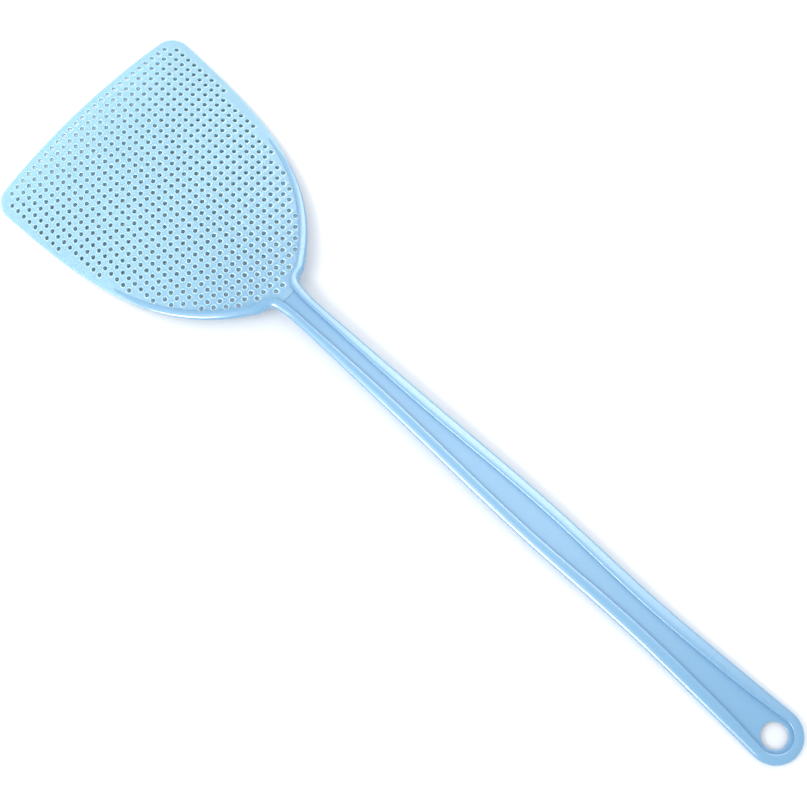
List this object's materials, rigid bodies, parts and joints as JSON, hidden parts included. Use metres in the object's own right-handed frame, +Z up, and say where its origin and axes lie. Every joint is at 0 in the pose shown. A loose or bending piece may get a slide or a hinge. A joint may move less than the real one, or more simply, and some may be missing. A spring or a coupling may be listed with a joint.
{
  "type": "fly swatter",
  "caption": "Moulded plastic hand swatter: a cupped, finely pierced blade that flexes on a slim channelled handle with a round hang hole in its end.",
  "frame": {"origin": "on the surface the swatter lies on, below the middle of its length and width", "axes": "+Y from the hang end towards the blade's tip, +Z up from the surface, +X to the right of a hand that holds the handle"},
  "size_m": [0.1176, 0.4282, 0.0119],
  "materials": {
    "pierced_blade": "satin moulded polypropylene, sky blue, pierced",
    "plain_blade": "satin moulded polypropylene, sky blue",
    "rib": "smooth glossy moulded polypropylene, sky blue",
    "web": "satin moulded polypropylene, sky blue"
  },
  "bodies": {
    "handle": {"handle_web": "web", "handle_rib_left": "rib", "handle_rib_right": "rib", "handle_end_bow": "rib", "hang_eye": "web"},
    "blade": {"blade_panel": "pierced_blade", "blade_border": "plain_blade", "blade_tang": "plain_blade", "neck_bead_left": "rib", "neck_bead_right": "rib"}
  },
  "joints": [
    {"name": "neck_flex", "type": "hinge", "parent": "handle", "child": "blade", "pos_m": [0, 0.07606, 0.00945], "axis": [1, 0, 0], "range_deg": [-25, 25], "stiffness_Nm_per_rad": 0.6}
  ]
}
